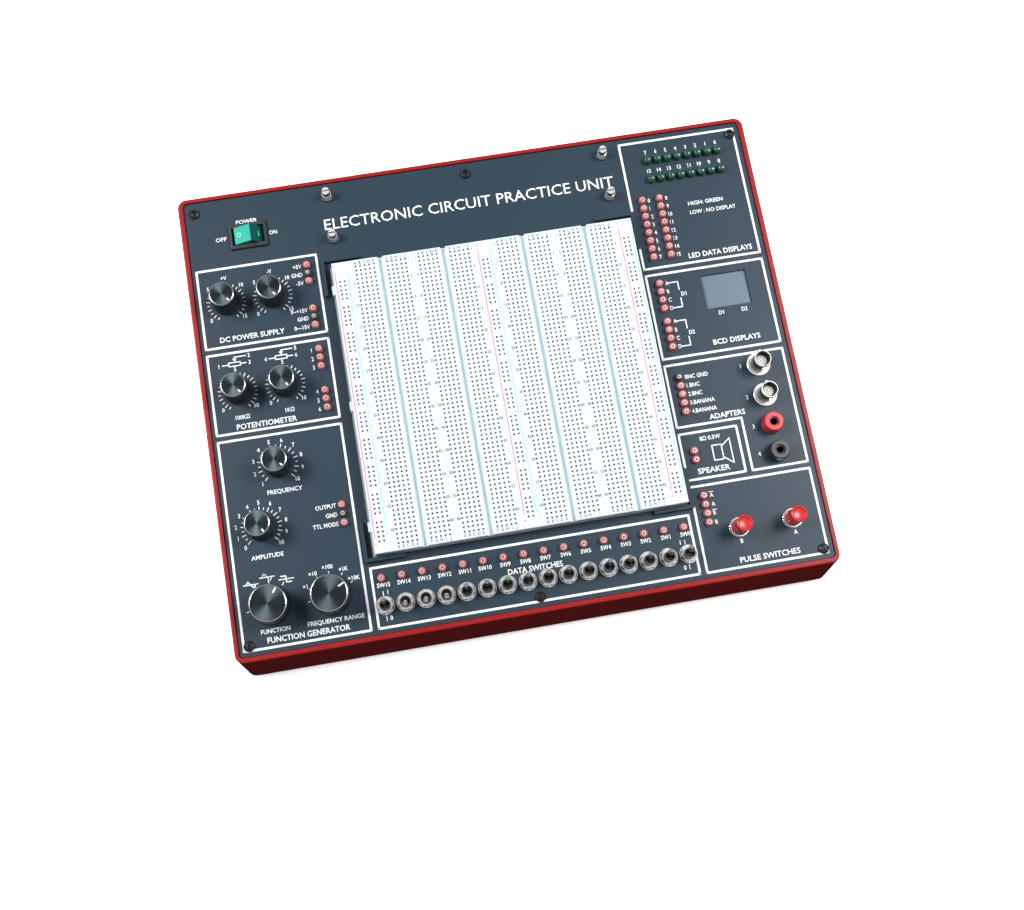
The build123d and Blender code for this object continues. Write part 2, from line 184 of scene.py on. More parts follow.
def blend_colour(material, mask, color, metallic=None):
    """Paints a second colour over a finish wherever the mask is 1, with its metallic value."""
    tree = material.node_tree
    shader = tree.nodes["Principled BSDF"]
    mix = tree.nodes.new("ShaderNodeMix")
    mix.data_type = "RGBA"
    tree.links.new(mask, mix.inputs["Factor"])
    tree.links.new(shader.inputs["Base Color"].links[0].from_socket, mix.inputs[6])
    mix.inputs[7].default_value = (*color, 1.0)
    tree.links.new(mix.outputs[2], shader.inputs["Base Color"])
    if metallic is not None:
        metal = tree.nodes.new("ShaderNodeMapRange")
        metal.inputs["To Min"].default_value = shader.inputs["Metallic"].default_value
        metal.inputs["To Max"].default_value = metallic
        tree.links.new(mask, metal.inputs["Value"])
        tree.links.new(metal.outputs[0], shader.inputs["Metallic"])


inlet_low, inlet_high = (np.array(corner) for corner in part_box("mains_inlet"))
inlet_black = finish("inlet_black", (0.018, 0.018, 0.02), 0.45, grain_scale=2500.0, grain_height=0.2)
WELL_SIDE = 0.0091        # the blades stand inside this half-width of the well
WELL_LOW = 0.0044         # and between these two heights above the flange's lower edge
WELL_HIGH = 0.0192
inlet_x = (inlet_low[0] + inlet_high[0]) / 2
well = within(inlet_black.node_tree,
              (inlet_x - WELL_SIDE, inlet_high[1] - 0.0175, inlet_low[2] + WELL_LOW),
              (inlet_x + WELL_SIDE, inlet_high[1] - 0.0045, inlet_low[2] + WELL_HIGH))
blend_colour(inlet_black, well, (0.75, 0.73, 0.68), metallic=1.0)
dress(inlet_black, "mains_inlet")

# ---- Transformer and loudspeaker -----------------------------------------------------
# The transformer is a stack of steel laminations with a taped winding round its middle
# leg; the loudspeaker is a pressed basket with a bright magnet, over slots in the floor.

core_low, core_high = (np.array(corner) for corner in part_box("transformer"))
CORE_HALF = 0.0091        # half the thickness of the lamination stack
lamination = finish("lamination", (0.62, 0.42, 0.08), 0.55, mottle=0.3, grain_scale=1500.0, grain_height=0.2)
core_mid = (core_low[1] + core_high[1]) / 2
stack = within(lamination.node_tree, (-1, core_mid - CORE_HALF, -1), (1, core_mid + CORE_HALF, 1))
blend_colour(lamination, stack, (0.16, 0.16, 0.17), metallic=0.8)
dress(lamination, "transformer")

speaker_high = np.array(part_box("speaker")[1])
MAGNET_DEEP = 0.0082
basket = finish("basket", (0.02, 0.02, 0.022), 0.6, mottle=0.3, grain_scale=1200.0, grain_height=0.3)
magnet = within(basket.node_tree, (-1, -1, speaker_high[2] - MAGNET_DEEP), (1, 1, 1))
blend_colour(basket, magnet, (0.55, 0.55, 0.57), metallic=1.0)
dress(basket, "speaker")

# ---- Main board ----------------------------------------------------------------------
# A green glass-epoxy board that hangs under the panel on the controls' pins. Tinned
# tracks run under the solder mask in bands, and copper shows a little through it.

board_green = finish("board_green", (0.012, 0.12, 0.045), 0.35, mottle=0.25, mottle_scale=300.0,
                     Coat_Weight=0.3)
tracks = board_green.node_tree.nodes.new("ShaderNodeTexBrick")
tracks.inputs["Scale"].default_value = 180.0
tracks.inputs["Mortar Size"].default_value = 0.03
tracks.inputs["Color1"].default_value = (0, 0, 0, 1)
tracks.inputs["Color2"].default_value = (0.1, 0.1, 0.1, 1)
tracks.inputs["Mortar"].default_value = (1, 1, 1, 1)
board_place = board_green.node_tree.nodes.new("ShaderNodeTexCoord")
board_green.node_tree.links.new(board_place.outputs["Object"], tracks.inputs["Vector"])
track_mask = board_green.node_tree.nodes.new("ShaderNodeRGBToBW")
board_green.node_tree.links.new(tracks.outputs["Color"], track_mask.inputs[0])
blend_colour(board_green, track_mask.outputs[0], (0.05, 0.22, 0.07))
dress(board_green, "main_board")

# ---- Panel ---------------------------------------------------------------------------
# A steel plate, punched for every control and sprayed satin slate grey. The finish is
# an even, very fine orange peel that the lights turn paler towards one corner.

slate = finish("slate_paint", (0.019, 0.036, 0.053), 0.40, mottle=0.10, mottle_scale=12.0, drift=0.08,
               grain_scale=2200.0, grain_height=0.12, Specular_IOR_Level=0.25)
dress(slate, "panel")

# The plate's own axes: X to the right, Y up the slope, Z out of its face, in millimetres
# from the middle of the rim. The tilt is that of the knobs' shafts.
PLATE_THICK = 2.5
PLATE_TOP = -1.0          # the plate's face lies this far below the rim
shaft = next(joint for joint in frame["joints"] if joint["name"] == "frequency_turn")["axis"]
tilt = math.atan2(-shaft[1], shaft[2])
tilting = np.array([(1, 0, 0), (0, math.cos(tilt), -math.sin(tilt)), (0, math.sin(tilt), math.cos(tilt))])
plate_low, plate_high = (np.array(corner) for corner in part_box("panel"))
rim_middle = (plate_low + plate_high) / 2 - tilting[:, 2] * (PLATE_TOP - PLATE_THICK / 2) / 1000


def on_panel(points):
    """Plate millimetres to the object's metres: turned by the tilt, then moved to the rim's middle."""
    return np.asarray(points) @ tilting.T / 1000 + rim_middle


def off_panel(place):
    """The reverse: an object's place in metres to plate millimetres."""
    return (np.asarray(place) - rim_middle) @ tilting * 1000


def make_piece(name, points, faces, material, body="chassis", sharp=35.0, uv=None):
    """A mesh piece from plate millimetres. A closed surface that comes out inside out is turned round,
    and edges steeper than the sharp angle stay crisp."""
    mesh = bpy.data.meshes.new(name)
    mesh.from_pydata(on_panel(points), [], faces)
    if uv is not None:
        layer = mesh.uv_layers.new(name="UVMap")
        layer.data.foreach_set("uv", np.asarray(uv, dtype=np.float32).ravel())
    shell = bmesh.new()
    shell.from_mesh(mesh)
    if shell.calc_volume(signed=True) < 0:
        bmesh.ops.reverse_faces(shell, faces=shell.faces)
    shell.to_mesh(mesh)
    shell.free()
    mesh.shade_smooth()
    mesh.set_sharp_from_angle(angle=math.radians(sharp))
    mesh.materials.append(material)
    piece = bpy.data.objects.new(name, mesh)
    bpy.context.scene.collection.objects.link(piece)
    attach(piece, body)
    return piece


# ---- Printing on the panel -----------------------------------------------------------
# White epoxy ink, screen printed: frames round each section, titles, labels, dial
# scales and small circuit symbols. The ink stands a few hundredths proud of the paint.

ink_white = finish("ink_white", (0.80, 0.82, 0.82), 0.5, mottle=0.12, mottle_scale=400.0, grain_scale=5000.0,
                   grain_height=0.1)
INK_LOW = -0.02
INK_HIGH = 0.05


# A box's faces, for corners given as one ring and then the ring above it.
BOX_FACES = [(3, 2, 1, 0), (4, 5, 6, 7), (0, 1, 5, 4), (1, 2, 6, 5), (2, 3, 7, 6), (3, 0, 4, 7)]


class Print:
    """Gathers flat inked shapes at one height and turns them into one piece."""

    def __init__(self, height):
        self.height = height
        self.points = []
        self.faces = []
        self.count = 0

    def add(self, points, faces):
        self.points.append(points)
        self.faces += [tuple(index + self.count for index in face) for face in faces]
        self.count += len(points)

    def line(self, x0, y0, x1, y1, width, square=True):
        """A stroke between two points: a flat box that runs half its width past each end."""
        along = np.array([x1 - x0, y1 - y0], dtype=float)
        along /= max(np.hypot(*along), 1e-9)
        across = np.array([-along[1], along[0]]) * width / 2
        past = along * width / 2 if square else along * 0
        ends = np.array([(x0, y0) - past - across, (x1, y1) + past - across,
                         (x1, y1) + past + across, (x0, y0) - past + across])
        low = np.c_[ends, np.full(4, self.height + INK_LOW)]
        high = np.c_[ends, np.full(4, self.height + INK_HIGH)]
        self.add(np.r_[low, high], BOX_FACES)

    def path(self, places, width):
        """Strokes joined end to end."""
        for (x0, y0), (x1, y1) in zip(places[:-1], places[1:]):
            self.line(x0, y0, x1, y1, width)

    def text(self, words, x, y, cap, align="centre", width=None, squeeze=0.88, bold=0.0):
        """Words with capitals of a given height, centred on y; align says which end x is, and a
        width stretches or squeezes them to fit."""
        points, faces = glyphs(words, bold)
        points = points * np.array([cap / CAPITAL, cap / CAPITAL, 1])
        left, right = points[:, 0].min(), points[:, 0].max()
        fit = squeeze if width is None else width / (right - left)
        start = {"left": left, "centre": (left + right) / 2, "right": right}[align]
        points[:, 0] = (points[:, 0] - start) * fit + x
        points[:, 1] += y - cap / 2
        points[:, 2] = self.height + np.where(points[:, 2] > 0, INK_HIGH, INK_LOW)
        self.add(points, faces)

    def piece(self, name, material, slot):
        return make_piece(name, np.concatenate(self.points), self.faces, material, sharp=20.0)


glyph_store = {}


def glyphs(words, bold):
    """The outline of some words as a thin closed slab: points and faces, one unit per em."""
    if (words, bold) not in glyph_store:
        curve = bpy.data.curves.new("words", "FONT")
        curve.body = words
        curve.extrude = 0.01
        curve.offset = bold
        curve.resolution_u = 2
        holder = bpy.data.objects.new("words", curve)
        mesh = bpy.data.meshes.new_from_object(holder)
        points = np.zeros(len(mesh.vertices) * 3)
        mesh.vertices.foreach_get("co", points)
        glyph_store[words, bold] = (points.reshape(-1, 3), [tuple(face.vertices) for face in mesh.polygons])
        bpy.data.objects.remove(holder)
        bpy.data.curves.remove(curve)
        bpy.data.meshes.remove(mesh)
    return glyph_store[words, bold]


CAPITAL = np.ptp(glyphs("H", 0.0)[0][:, 1])

# Frames: each section has a white line round it, and some neighbours share a side.
FRAME_LINE = 1.25
LEFT_X = (-158.8, -91.3)
RIGHT_X = (90.8, 158.2)
frames = Print(PLATE_TOP)
for top, bottom in ((87.7, 41.7), (37.8, -8.0), (-11.9, -126.1)):
    x0, x1 = LEFT_X
    frames.path([(x0, top), (x1, top), (x1, bottom), (x0, bottom), (x0, top)], FRAME_LINE)
x0, x1 = RIGHT_X
frames.path([(x0, 83.8), (x0, 125.8), (x1, 125.8), (x1, 48.6), (x0, 48.6), (x0, 60.5)], FRAME_LINE)
frames.path([(x0, 44.6), (x1, 44.6), (x1, -5.2), (x0, -5.2), (x0, 44.6)], FRAME_LINE)
frames.path([(x0, -9.2), (x1, -9.2), (x1, -75.0), (127.2, -75.0), (127.2, -44.9), (x0, -44.9), (x0, -9.2)],
            FRAME_LINE)
frames.path([(x0, -67.0), (x0, -48.9), (123.3, -48.9), (123.3, -74.9), (91.8, -74.9)], FRAME_LINE)
frames.path([(91.1, -90.2), (91.1, -126.1), (x1, -126.1), (x1, -78.8), (91.6, -78.8)], FRAME_LINE)
frames.path([(-87.1, -93.6), (87.1, -93.6), (87.1, -126.0), (-87.1, -126.0), (-87.1, -93.6)], FRAME_LINE)
frames.piece("printed_frames", ink_white, "slate_panel")

# Titles of the sections, in bold capitals, and the plain line of larger ones at the top.
TITLE_CAP = 2.9
BOLD = 0.014
titles = Print(PLATE_TOP)
for words, x0, x1, y in (("DC POWER SUPPLY", -150.5, -114.5, 46.0), ("POTENTIOMETER", -147.5, -114.5, -4.8),
                         ("FUNCTION GENERATOR", -146.0, -102.0, -122.3),
                         ("LED DATA DISPLAYS", 117.5, 154.4, 52.8),
                         ("BCD DISPLAYS", 120.8, 147.8, 0.2), ("ADAPTERS", 109.8, 130.0, -41.6),
                         ("SPEAKER", 97.3, 115.3, -70.8), ("PULSE SWITCHES", 110.0, 143.3, -122.3),
                         ("DATA SWITCHES", -14.7, 15.1, -107.9)):
    titles.text(words, x0, y, TITLE_CAP, "left", x1 - x0, bold=BOLD)
titles.text("ELECTRONIC CIRCUIT PRACTICE UNIT", -84.0, 104.5, 6.3, "left", 167.5, bold=0.002)
titles.piece("printed_titles", ink_white, "slate_panel")

# Small labels beside the sockets and under the controls.
LABEL_CAP = 2.25
labels = Print(PLATE_TOP)
for words, x0, x1, y in (("POWER", -133.2, -121.3, 113.9), ("OFF", -145.8, -139.6, 105.0),
                         ("ON", -115.5, -111.0, 105.0),
                         ("FREQUENCY", -135.8, -116.8, -43.7), ("AMPLITUDE", -148.9, -131.5, -77.7),
                         ("FUNCTION", -148.9, -133.3, -117.5), ("FREQUENCY RANGE", -124.0, -93.7, -117.5),
                         ("HIGH: GREEN", 123.5, 143.8, 84.0), ("LOW : NO DISPLAY", 123.5, 150.3, 78.5),
                         ("8Ω 0.5W", 101.8, 113.4, -53.0)):
    labels.text(words, x0, y, LABEL_CAP, "left", x1 - x0, bold=BOLD)
for words, x, y in (("+V", -144.3, 82.0), ("-V", -118.6, 82.0), ("100KΩ", -143.6, 0.5),
                    ("1KΩ", -117.6, 0.5),
                    ("D1", 110.2, 31.2), ("D2", 110.2, 8.2), ("D1", 128.9, 16.8), ("D2", 142.3, 16.8),
                    ("B", 113.1, -112.1), ("A", 143.1, -112.2)):
    labels.text(words, x, y, LABEL_CAP, bold=BOLD)
for words, y in (("+5V", 82.0), ("GND", 77.0), ("-5V", 72.0), ("0~+15V", 55.8), ("GND", 51.0),
                 ("0~-15V", 46.0), ("OUTPUT", -56.6), ("GND", -61.6), ("TTL MODE", -66.7)):
    labels.text(words, -100.2, y, LABEL_CAP, "right", bold=BOLD)
for number, y in enumerate((32.0, 27.0, 22.0, 8.0, 3.0, -2.0), start=1):
    labels.text(str(number), -101.4, y, LABEL_CAP, bold=BOLD)
LED_PITCH = 5.9
JACK_PITCH = 4.96
JACK_LABEL_X = 100.9
for number in range(8):
    labels.text(str(7 - number), 105.2 + LED_PITCH * number, 119.0, LABEL_CAP, bold=BOLD)
    labels.text(str(15 - number), 105.2 + LED_PITCH * number, 107.4, LABEL_CAP, bold=BOLD)
    y = 89.5 - JACK_PITCH * number
    labels.text(str(number), JACK_LABEL_X, y, LABEL_CAP, "left", bold=BOLD)
    labels.text(str(8 + number), JACK_LABEL_X + 10.1, y, LABEL_CAP, "left", bold=BOLD)
for top in (38.7, 15.9):
    for row, letter in enumerate("ABCD"):
        labels.text(letter, JACK_LABEL_X, top - JACK_PITCH * row, LABEL_CAP, "left", bold=BOLD)
for row, words in enumerate(("BNC GND", "1.BNC", "2.BNC", "3.BANANA", "4.BANANA")):
    labels.text(words, JACK_LABEL_X, -17.0 - JACK_PITCH * row, LABEL_CAP, "left", bold=BOLD)
for number, y in enumerate((-16.0, -34.0, -51.0, -66.7), start=1):
    labels.text(str(number), 132.8, y, LABEL_CAP, bold=BOLD)
for row, letter in enumerate("AABB"):
    y = -84.7 - JACK_PITCH * row
    labels.text(letter, JACK_LABEL_X, y, LABEL_CAP, "left", bold=BOLD)
    if row % 2 == 0:
        labels.line(JACK_LABEL_X - 0.1, y + 1.85, JACK_LABEL_X + 2.1, y + 1.85, 0.35)
SWITCH_PITCH = 11.0
for number in range(16):
    labels.text("SW%d" % number, 1.1 + SWITCH_PITCH * (7.5 - number), -103.4, LABEL_CAP, bold=BOLD)
for x, side in ((-82.2, 1), (82.3, -1)):
    labels.line(x, -106.7, x, -108.8, 0.35)
    labels.line(x, -120.0, x, -122.5, 0.35)
    labels.text("1", x + side * 2.5, -107.5, LABEL_CAP, bold=BOLD)
    labels.text("0", x + side * 2.5, -121.3, LABEL_CAP, bold=BOLD)
labels.piece("printed_labels", ink_white, "slate_panel")

# Symbols: brackets for the two digits, a loudspeaker, two variable resistors and waves.
FINE = 0.6
symbols = Print(PLATE_TOP)
for high, low in ((38.7, 34.0), (28.8, 23.7), (15.8, 10.9), (5.8, 0.8)):
    inner = low if high in (38.7, 15.8) else high
    outer = high if high in (38.7, 15.8) else low
    symbols.path([(103.0, outer), (108.0, outer), (108.0, inner)], FINE)
symbols.path([(107.7, -57.7), (112.9, -57.7), (112.9, -66.1), (107.7, -66.1), (107.7, -57.7)], FINE)
symbols.path([(113.0, -58.8), (118.0, -55.0), (118.0, -69.0), (113.0, -65.0)], FINE)
for shift, (first, second, third) in ((0.0, "123"), (25.9, "456")):
    symbols.text(first, shift - 153.0, 31.0, LABEL_CAP, bold=BOLD)
    symbols.line(shift - 151.0, 31.1, shift - 147.5, 31.1, FINE)
    symbols.path([(shift - 147.5, 32.2), (shift - 141.1, 32.2), (shift - 141.1, 30.1), (shift - 147.5, 30.1),
                  (shift - 147.5, 32.2)], FINE)
    symbols.line(shift - 141.1, 31.1, shift - 138.0, 31.1, FINE)
    symbols.text(third, shift - 136.0, 31.1, LABEL_CAP, bold=BOLD)
    symbols.path([(shift - 137.8, 35.2), (shift - 144.1, 35.2), (shift - 144.1, 33.0)], FINE)
    symbols.path([(shift - 144.9, 34.1), (shift - 144.1, 33.0), (shift - 143.3, 34.1)], FINE)
    symbols.text(second, shift - 136.0, 35.2, LABEL_CAP, bold=BOLD)


def wave_path(kind, x, y, half, tall):
    """One period of a wave as points: a sine, a triangle or a square, centred on x and y."""
    if kind == "sine":
        turn = np.linspace(-math.pi, math.pi, 17)
        return list(zip(x + half * turn / math.pi, y - tall * np.sin(turn)))
    if kind == "triangle":
        return [(x - half, y), (x - half / 2, y + tall), (x + half / 2, y - tall), (x + half, y)]
    return [(x - half, y + tall), (x, y + tall), (x, y - tall), (x + half, y - tall)]


for kind, x, y in (("triangle", -151.0, -91.6), ("sine", -142.0, -88.9), ("square", -132.0, -91.5)):
    symbols.path(wave_path(kind, x, y, 2.7, 1.7), FINE)
    symbols.line(x - 3.9, y, x + 3.9, y, FINE * 0.8)
symbols.piece("printed_symbols", ink_white, "slate_panel")

# Dial scales: radial ticks round each knob with the numbers outside them.
places = {joint["child"]: off_panel(joint["pos_m"])[:2] for joint in frame["joints"] if "pos_m" in joint}
TICK = 0.45
dials = Print(PLATE_TOP)


def ticks(knob, angles, inner, outer):
    """Radial strokes round a knob at the given angles in degrees, from the right, anticlockwise."""
    x, y = places[knob]
    for angle in np.radians(angles):
        c, s = math.cos(angle), math.sin(angle)
        dials.line(x + inner * c, y + inner * s, x + outer * c, y + outer * s, TICK, square=False)


def numbers(knob, words, angles, radius):
    """Labels round a knob."""
    x, y = places[knob]
    for word, angle in zip(words, np.radians(angles)):
        dials.text(word, x + radius * math.cos(angle), y + radius * math.sin(angle), LABEL_CAP, bold=BOLD)


SWEEP = 270.0
START = 225.0
for knob in ("knob_resistor_100k", "knob_resistor_1k", "knob_supply_plus", "knob_supply_minus"):
    ticks(knob, START - SWEEP / 10 * np.arange(11), 9.0, 11.2)
    ticks(knob, START - SWEEP / 20 * np.arange(-1, 22, 2), 9.4, 10.9)
for knob in ("knob_resistor_100k", "knob_resistor_1k"):
    numbers(knob, ("0", "5", "10"), (225, 90, -45), 13.0)
for knob in ("knob_supply_plus", "knob_supply_minus"):
    numbers(knob, ("0", "5", "10", "15"), (225, 135, 45, -45), 13.2)
ticks("knob_frequency", START - SWEEP / 9 * np.arange(10), 9.0, 11.4)
ticks("knob_frequency", START - SWEEP / 18 * np.arange(1, 18, 2), 9.4, 10.9)
numbers("knob_frequency", [str(n) for n in range(1, 11)], START - SWEEP / 9 * np.arange(10), 13.5)
ticks("knob_amplitude", START - SWEEP / 10 * np.arange(11), 9.0, 11.4)
ticks("knob_amplitude", START - SWEEP / 20 * np.arange(1, 20, 2), 9.4, 10.9)
numbers("knob_amplitude", [str(n) for n in range(11)], START - SWEEP / 10 * np.arange(11), 13.7)
RANGE_ANGLES = (155, 122, 91, 58, 26)
ticks("selector_range", RANGE_ANGLES + (186,), 11.9, 13.1)
for word, x, y in (("×1", -122.6, -97.4), ("×10", -117.8, -91.2), ("×100", -109.6, -88.8),
                   ("×1K", -101.3, -91.2), ("×10K", -96.4, -96.9)):
    dials.text(word, x, y, LABEL_CAP, bold=BOLD)
ticks("selector_waveform", (124, 91, 56, 186), 11.9, 13.8)
dials.piece("printed_dials", ink_white, "slate_panel")

# ---- Screws and posts ----------------------------------------------------------------
# Black oxide pan-head screws hold the panel down. The four posts are turned brass,
# nickel plated, each with a slotted screw through a collar.

black_oxide = finish("black_oxide", (0.02, 0.02, 0.022), 0.38, mottle=0.3, mottle_scale=500.0, Metallic=0.6)
dress(black_oxide, "panel_screws")
nickel = finish("nickel", (0.96, 0.95, 0.92), 0.16, mottle=0.12, mottle_scale=350.0, drift=0.15,
                grain_scale=6000.0, grain_height=0.05, Metallic=0.65)
# Painted reflection: plated faces that turn away from the eye are painted dark, for the dark panel they would
# mirror.
turning = nickel.node_tree.nodes.new("ShaderNodeLayerWeight")
turned_away_painted_dark = nickel.node_tree.nodes.new("ShaderNodeMapRange")
turned_away_painted_dark.inputs["From Min"].default_value = 0.15
turned_away_painted_dark.inputs["From Max"].default_value = 0.55
nickel.node_tree.links.new(turning.outputs["Facing"], turned_away_painted_dark.inputs["Value"])
blend_colour(nickel, turned_away_painted_dark.outputs["Result"], (0.12, 0.115, 0.11))
dress(nickel, "posts", "toggle_nuts", "button_bezels", "bnc_shells", "rear_nuts")
washer_grey = finish("washer_grey", (0.80, 0.79, 0.77), 0.25, mottle=0.15, mottle_scale=350.0, Metallic=0.7)
dress(washer_grey, "toggle_washers")
lever_chrome = finish("lever_chrome", (0.66, 0.65, 0.63), 0.12, mottle=0.1, mottle_scale=350.0, Metallic=1.0)
dress(lever_chrome, *["lever_%02d" % n for n in range(16)])

# ---- Breadboard ----------------------------------------------------------------------
# Four terminal strips and three supply strips of white ABS, slid together and stuck
# down on a foil-backed pad. Every tie point is a square hole with a flared mouth.

pad_grey = finish("pad_grey", (0.30, 0.31, 0.31), 0.7, mottle=0.3, grain_scale=1500.0, grain_height=0.3)
dress(pad_grey, "strip_backing")
strip_white = finish("strip_white", (0.64, 0.76, 0.80), 0.42, mottle=0.04, mottle_scale=15.0, drift=0.05,
                     grain_scale=2500.0, grain_height=0.08)

GRID = 2.54
ROWS = 63
HOLE = 0.45
FLARE = 0.75
HOLE_DEEP = 4.0
FLARE_DROP = 0.3
STRIP_MIDDLE = (2.2, -5.0)
STRIP_LONG = 165.1
STRIP_LOW = -0.2
STRIP_TOP = 7.5
EDGE_BEVEL = 0.35
GROOVE_HALF = 1.5
GROOVE_DEEP = 2.4

# Painted shade: the walls and floor of every hole are painted dull dark grey, for the shade down the holes
# over the spring contacts.
hole_painted_shade = finish("hole_painted_shade", (0.17, 0.20, 0.22), 0.6, mottle=0.2, mottle_scale=900.0)


def tie_points(width, columns, rows, groove):
    """A strip as a height field on crossing grid lines. Each line has a base height, and lines that
    belong to a row or column of holes have a ring: 0 at the flare, 1 at the throat's top, 2 at its
    floor. A crossing takes the smaller ring of its two lines, so every hole comes out square."""
    def lines(half, centres, groove):
        shoulder = STRIP_TOP - EDGE_BEVEL
        found = [(-half, STRIP_LOW, -1), (-half, shoulder, -1), (-half + EDGE_BEVEL, STRIP_TOP, -1)]
        for centre in centres:
            for offset, ring in ((FLARE, 0), (HOLE + 0.03, 1), (HOLE, 2)):
                found += [(centre - offset, STRIP_TOP, ring), (centre + offset, STRIP_TOP, ring)]
        if groove:
            low = STRIP_TOP - GROOVE_DEEP
            found += [(-GROOVE_HALF - 1e-6, STRIP_TOP, -1), (-GROOVE_HALF, low, -1),
                      (GROOVE_HALF, low, -1), (GROOVE_HALF + 1e-6, STRIP_TOP, -1)]
        found += [(half - EDGE_BEVEL, STRIP_TOP, -1), (half, shoulder, -1), (half, STRIP_LOW, -1)]
        middle = sorted(found[3:-3])
        return np.array(found[:3] + middle + found[-3:]).T

    x, base_x, ring_x = lines(width / 2 - 0.04, columns, groove)
    y, base_y, ring_y = lines(STRIP_LONG / 2, rows, False)
    ring = np.minimum(ring_x[:, None], ring_y[None, :]).astype(int)
    drop = np.array([0, FLARE_DROP, HOLE_DEEP, 0])[ring]
    z = np.minimum(base_x[:, None], base_y[None, :]) - drop
    grid = np.stack([np.broadcast_to(x[:, None], z.shape), np.broadcast_to(y[None, :], z.shape), z], axis=-1)
    number = np.arange(z.size).reshape(z.shape)
    corners = [number[:-1, :-1], number[1:, :-1], number[1:, 1:], number[:-1, 1:]]
    quads = np.stack(corners, axis=-1).reshape(-1, 4)
    inside = ring.reshape(-1)[quads].min(axis=1) >= 1
    rim = np.concatenate([number[:, 0], number[-1, 1:], number[-2::-1, -1], number[0, -2:0:-1]])
    faces = quads.tolist() + [rim[::-1].tolist()]
    return grid.reshape(-1, 3), faces, np.append(inside, False).astype(np.int32)


terminal_rows = GRID * (np.arange(ROWS) - ROWS // 2)
terminal_columns = [side * (1.5 + i) * GRID for side in (-1, 1) for i in range(5)]
supply_rows = [GRID * (31 - row) for start in range(3, 63, 6) for row in range(start, start + 5)]
strip_widths = (9.4, 35.56, 35.56, 9.4, 35.56, 35.56, 9.4)
left = STRIP_MIDDLE[0] - sum(strip_widths) / 2
terminal_middles = []
supply_middles = []
for place, width in enumerate(strip_widths):
    middle = left + width / 2
    left += width
    if width > 20:
        terminal_middles.append(middle)
        points, faces, inside = tie_points(width, terminal_columns, terminal_rows, True)
        name = "terminal_strip_%d" % len(terminal_middles)
    else:
        supply_middles.append(middle)
        points, faces, inside = tie_points(width, (-GRID / 2, GRID / 2), supply_rows, False)
        name = "supply_strip_%d" % len(supply_middles)
    points = points + (middle, STRIP_MIDDLE[1], 0)
    strip = make_piece(name, points, faces, strip_white, sharp=25.0)
    strip.data.materials.append(hole_painted_shade)
    strip.data.polygons.foreach_set("material_index", inside)
    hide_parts("terminal_strips" if width > 20 else "bus_strips")

# The joining tabs on the left side are moulded with the strip.
tab_points = []
tab_faces = []
strip_left = STRIP_MIDDLE[0] - sum(strip_widths) / 2
for count, offset in enumerate((-67.4, 0.0, 67.4)):
    y = STRIP_MIDDLE[1] + offset
    outline = np.array([(0.1, -2.7), (-1.2, -2.7), (-1.6, -2.2), (-1.6, 2.2), (-1.2, 2.7), (0.1, 2.7)])
    outline = outline + (strip_left, y)
    tab_points += [np.c_[outline, np.full(6, 1.2)], np.c_[outline, np.full(6, 5.6)]]
    base = 12 * count
    tab_faces += [tuple(base + i for i in range(6)), tuple(base + 11 - i for i in range(6))]
    tab_faces += [(base + i, base + 6 + i, base + 6 + (i + 1) % 6, base + (i + 1) % 6) for i in range(6)]
make_piece("joining_tabs", np.concatenate(tab_points), tab_faces, strip_white)

# ---- Printing on the breadboard ------------------------------------------------------
# Grey row numbers and column letters beside the tie points, and a red and a blue line
# along each supply strip, hot stamped into the white plastic.

stamp_grey = finish("stamp_grey", (0.10, 0.12, 0.13), 0.5, mottle=0.2, mottle_scale=500.0)
stamp_red = finish("stamp_red", (0.66, 0.27, 0.33), 0.45, mottle=0.2, mottle_scale=500.0)
stamp_blue = finish("stamp_blue", (0.34, 0.60, 0.63), 0.45, mottle=0.2, mottle_scale=500.0)
STAMP_CAP = 1.7
STAMP_BOLD = 0.03
marks = Print(STRIP_TOP)
for middle in terminal_middles:
    for row in range(ROWS):
        if row + 1 != 1 and (row + 1) % 5 != 0:
            continue
        y = STRIP_MIDDLE[1] + GRID * (31 - row)
        marks.text(str(row + 1), middle - 15.9, y, STAMP_CAP, bold=STAMP_BOLD)
        marks.text(str(row + 1), middle + 15.9, y, STAMP_CAP, bold=STAMP_BOLD)
    for x, letter in zip(terminal_columns[4::-1] + terminal_columns[5:], "ABCDEFGHIJ"):
        for end in (-1, 1):
            marks.text(letter, middle + x, STRIP_MIDDLE[1] + end * 80.7, STAMP_CAP, bold=STAMP_BOLD)
marks.piece("stamped_numbers", stamp_grey, "white_plastic")
LINE_X = 3.4
for name, material, side, sign in (("stamped_red_lines", stamp_red, -1, "+"),
                                   ("stamped_blue_lines", stamp_blue, 1, "-")):
    lines = Print(STRIP_TOP)
    for middle in supply_middles:
        lines.line(middle + side * LINE_X, 72.0, middle + side * LINE_X, -79.5, 0.8)
        for y in (75.0, -83.0):
            lines.line(middle + side * LINE_X - 0.8, y, middle + side * LINE_X + 0.8, y, 0.4)
            if sign == "+":
                lines.line(middle + side * LINE_X, y - 0.8, middle + side * LINE_X, y + 0.8, 0.4)
    lines.piece(name, material, "white_plastic")

# ---- Corner guides -------------------------------------------------------------------
# Four bent angles that box in the breadboard, painted with the panel.
# They are spot welded, so no fixings show.

dress(slate, "corner_guides")

# ---- Power rocker --------------------------------------------------------------------
# A snap-in frame of black nylon round a translucent green rocker with a lamp behind it,
# lit while the switch is on. The off side carries a raised ring and the on side a bar.

